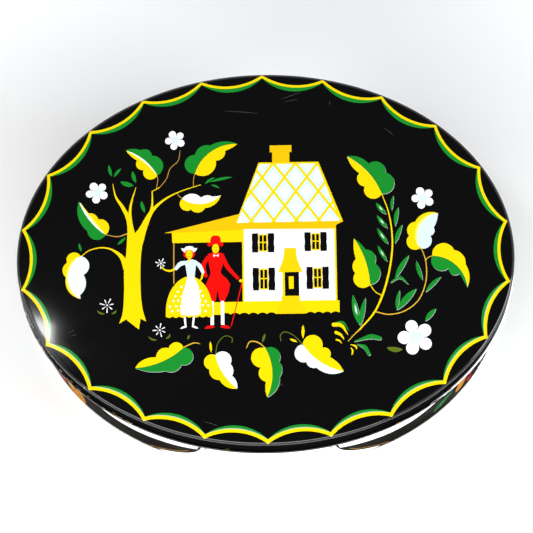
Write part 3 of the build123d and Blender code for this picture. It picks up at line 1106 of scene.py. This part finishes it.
INK_COLOURS = {  # as seen, from 0 to 255
    "black": (9, 9, 10),
    "undercoat": (176, 186, 180),
    "green": (26, 139, 44),
    "pale_green": (96, 182, 108),
    "olive": (92, 112, 30),
    "yellow": (251, 217, 6),
    "step_yellow": (247, 208, 10),
    "amber": (172, 112, 26),
    "dark_green": (16, 84, 32),
    "scratch": (92, 96, 98),
    "deep_yellow": (244, 194, 10),
    "honey": (226, 180, 52),
    "gold": (196, 150, 60),
    "pale_1": (255, 231, 60),
    "pale_2": (255, 238, 120),
    "pale_3": (254, 245, 190),
    "white": (250, 250, 250),
    "ice": (216, 234, 241),
    "mist": (232, 245, 249),
    "red": (232, 16, 12),
    "brown": (60, 36, 22),
}
LACQUERS = {  # name, colour, polish and mirror strength
    "skirt": ("skirt_lacquer", INK_COLOURS["black"], 0.3, 0.00003),
    "field": ("wall_lacquer", (14, 12, 10), 0.34, 0.0004),
}
METALS = {  # name, colour and polish
    "bare": ("bare_chip", (205, 198, 188), 0.3),
    "edge": ("curled_edge", (232, 231, 228), 0.4),
    "seam": ("rolled_seam", (232, 229, 224), 0.3),
    "tin": ("inner_tinplate", (208, 202, 190), 0.28),
}


def linear(colour):
    """A colour as seen, from 0 to 255, in the linear numbers that a shader takes."""
    return tuple(c / 255 / 12.92 if c < 11 else ((c / 255 + 0.055) / 1.055) ** 2.4 for c in colour)


class Look:
    """A material being put together: its shader, and nodes that feed the shader."""

    def __init__(self, name, colour, constants):
        self.mat = bpy.data.materials.new(name)
        self.mat.use_nodes = True
        self.shader = self.mat.node_tree.nodes["Principled BSDF"]
        for socket, value in {"Base Color": (*colour, 1), **constants}.items():
            self.shader.inputs[socket].default_value = value
        self.place = self.node("TexCoord", "Object")

    def node(self, kind, output=0, **inputs):
        """A new node's output. Its inputs are numbers, or outputs of other nodes to link."""
        node = self.mat.node_tree.nodes.new("ShaderNode" + kind)
        for name, value in inputs.items():
            self.feed(node.inputs[name.replace("_", " ")], value)
        return node.outputs[output]

    def feed(self, socket, value):
        if isinstance(value, bpy.types.NodeSocket):
            self.mat.node_tree.links.new(value, socket)
        else:
            socket.default_value = value

    def noise(self, scale, detail, stretch=(1, 1, 1), turn=0.0):
        """A noise from 0 to 1 in the object's own space, at a scale per metre."""
        place = self.node("Mapping", Vector=self.place, Scale=stretch, Rotation=(0, 0, turn))
        return self.node("TexNoise", Vector=place, Scale=scale, Detail=detail, Roughness=0.6)

    def between(self, value, low, high, out_low, out_high):
        """Maps a value from one range to another, and stops at its ends."""
        ranges = {"From_Min": low, "From_Max": high, "To_Min": out_low, "To_Max": out_high}
        return self.node("MapRange", Value=value, **ranges)

    def added(self, first, second):
        total = self.mat.node_tree.nodes.new("ShaderNodeMath")
        for value, socket in zip((first, second), total.inputs):
            self.feed(socket, value)
        return total.outputs[0]

    def finished(self, rough, bumps=()):
        """Sets the roughness and stacks the bumps: a height, its strength and its distance in metres."""
        self.feed(self.shader.inputs["Roughness"], rough)
        below = {}
        for height, strength, distance in bumps:
            below["Normal"] = self.node("Bump", Height=height, Strength=strength, Distance=distance, **below)
        for name, normal in below.items():
            self.feed(self.shader.inputs[name], normal)
        return self.mat


def printed(name, colour, polish=0.062, specular=0.5):
    """Ink or lacquer on tinplate: glossy, faintly dimpled, with fine rubs and a few scratches."""
    look = Look(name, linear(colour), {"Specular IOR Level": specular})
    clouds = look.between(look.noise(38, 5), 0.35, 0.7, polish * 0.85, polish * 1.35)
    rubs = look.between(look.noise(90, 6), 0.58, 0.8, 0, 0.03)
    hairs = look.between(look.noise(900, 1, (0.12, 1, 0.3), 0.6), 0.80, 0.84, 0, 0.10)
    dimples, dents = look.noise(1500, 2), look.noise(16, 2)
    bumps = ((dimples, 0.05, 0.00002), (dents, 0.12, 0.0006), (hairs, 0.2, 0.00002))
    return look.finished(look.added(look.added(clouds, rubs), hairs), bumps)


def tinplate(name, colour, polish):
    """Bare tinplate: brushed along its rolling, with dull patches."""
    look = Look(name, linear(colour), {"Metallic": 1.0})
    rolling = look.noise(1400, 3, (0.02, 1, 1))
    patches = look.between(look.noise(55, 6), 0.4, 0.72, polish, polish + 0.25)
    grain = look.between(rolling, 0.3, 0.7, -0.06, 0.08)
    pits, dents = look.noise(420, 4), look.noise(14, 2)
    bumps = ((rolling, 0.12, 0.00003), (pits, 0.15, 0.00005), (dents, 0.3, 0.0008))
    return look.finished(look.added(patches, grain), bumps)


@functools.cache
def ink_material(ink):
    """The material of an ink, by its name in the prints. The inks on the wall have names that start
    with wall_, and are duller than those on the lid."""
    if ink in METALS:
        return tinplate(*METALS[ink])
    if ink in LACQUERS:
        return printed(*LACQUERS[ink])
    if ink.startswith("wall_"):
        return printed(ink, INK_COLOURS[ink.removeprefix("wall_")], 0.34, 0.0008)
    return printed("ink_" + ink, INK_COLOURS[ink])


# ---- Floor, lights and camera

VIEW_TILT = math.radians(14.11)
VIEW_TURN = math.radians(2.37)
VIEW_ROLL = math.radians(-3.16)
VIEW_FROM = 1.077
VIEW_LENS = 145.3
VIEW_AIM = (0.53 * MM, -5.79 * MM, TOP * MM)


def make_floor():
    mesh = bpy.data.meshes.new("floor")
    reach, steps = 3.0, 12
    row = steps + 1
    edge = np.linspace(-reach, reach, row)
    faces = [(k, k + 1, k + row + 1, k + row) for k in range(row * steps) if (k + 1) % row]
    mesh.from_pydata([(x, y, 0.0) for y in edge for x in edge], [], faces)
    paper = Look("floor_paper", (0.97, 0.97, 0.965), {"Specular IOR Level": 0.1})
    mesh.materials.append(paper.finished(paper.between(paper.noise(30, 4), 0.3, 0.7, 0.75, 0.9)))
    floor = bpy.data.objects.new("floor", mesh)
    bpy.context.scene.collection.objects.link(floor)


def make_light(name, place, aim, size, power, colour=(1, 1, 1)):
    data = bpy.data.lights.new(name, "AREA")
    data.shape = "RECTANGLE"
    data.size, data.size_y = size
    data.energy = power
    data.color = colour
    light = bpy.data.objects.new(name, data)
    light.location = place
    light.rotation_mode = "QUATERNION"
    light.rotation_quaternion = (Vector(aim) - Vector(place)).to_track_quat("-Z", "Y")
    bpy.context.scene.collection.objects.link(light)


def make_world():
    """A soft studio: bright low down, and darker overhead, where the lid's top mirrors it."""
    world = bpy.data.worlds.new("studio")
    bpy.context.scene.world = world
    world.use_nodes = True
    tree = world.node_tree
    place = tree.nodes.new("ShaderNodeTexCoord")
    split = tree.nodes.new("ShaderNodeSeparateXYZ")
    ramp = tree.nodes.new("ShaderNodeValToRGB")
    tree.links.new(place.outputs["Generated"], split.inputs["Vector"])
    tree.links.new(split.outputs["Z"], ramp.inputs["Fac"])
    tree.links.new(ramp.outputs["Color"], tree.nodes["Background"].inputs["Color"])
    steps = ((0.0, 1.0), (0.55, 0.98), (0.7, 0.6), (0.81, 0.06), (1.0, 0.04))
    while len(ramp.color_ramp.elements) < len(steps):
        ramp.color_ramp.elements.new(0.5)
    for element, (at, grey) in zip(ramp.color_ramp.elements, steps):
        element.position = at
        element.color = (grey, grey, grey * 1.01, 1)
    tree.nodes["Background"].inputs["Strength"].default_value = 0.95


def make_camera():
    aim = Vector(VIEW_AIM)
    back = Vector((math.sin(VIEW_TURN) * math.sin(VIEW_TILT), -math.cos(VIEW_TURN) * math.sin(VIEW_TILT),
                   math.cos(VIEW_TILT)))
    data = bpy.data.cameras.new("camera")
    data.lens = VIEW_LENS
    data.sensor_width = 36.0
    camera = bpy.data.objects.new("camera", data)
    camera.location = aim + back * VIEW_FROM
    camera.rotation_mode = "QUATERNION"
    roll = Matrix.Rotation(VIEW_ROLL, 3, "Z").to_quaternion()
    camera.rotation_quaternion = (-back).to_track_quat("-Z", "Y") @ roll
    bpy.context.scene.collection.objects.link(camera)
    bpy.context.scene.camera = camera


make_camera()
make_world()
make_floor()
make_light("softbox_left", (-0.578, 0.15, 1.62), (0, 0, 0.08), (0.2, 0.2), 3.0)
make_light("fill_front", (-0.3, -1.5, 0.9), (0, -0.2, 0), (2.6, 0.26), 30)
make_light("fill_left", (-1.5, -0.2, 0.9), (0, 0, 0), (0.8, 0.8), 7, (0.86, 0.93, 1.0))
make_light("fill_right", (1.7, -0.35, 0.8), (0, 0, 0), (1.0, 0.8), 25, (0.9, 0.95, 1.0))

make_lid()
make_body()
make_base()

bpy.context.scene.view_settings.view_transform = "Standard"
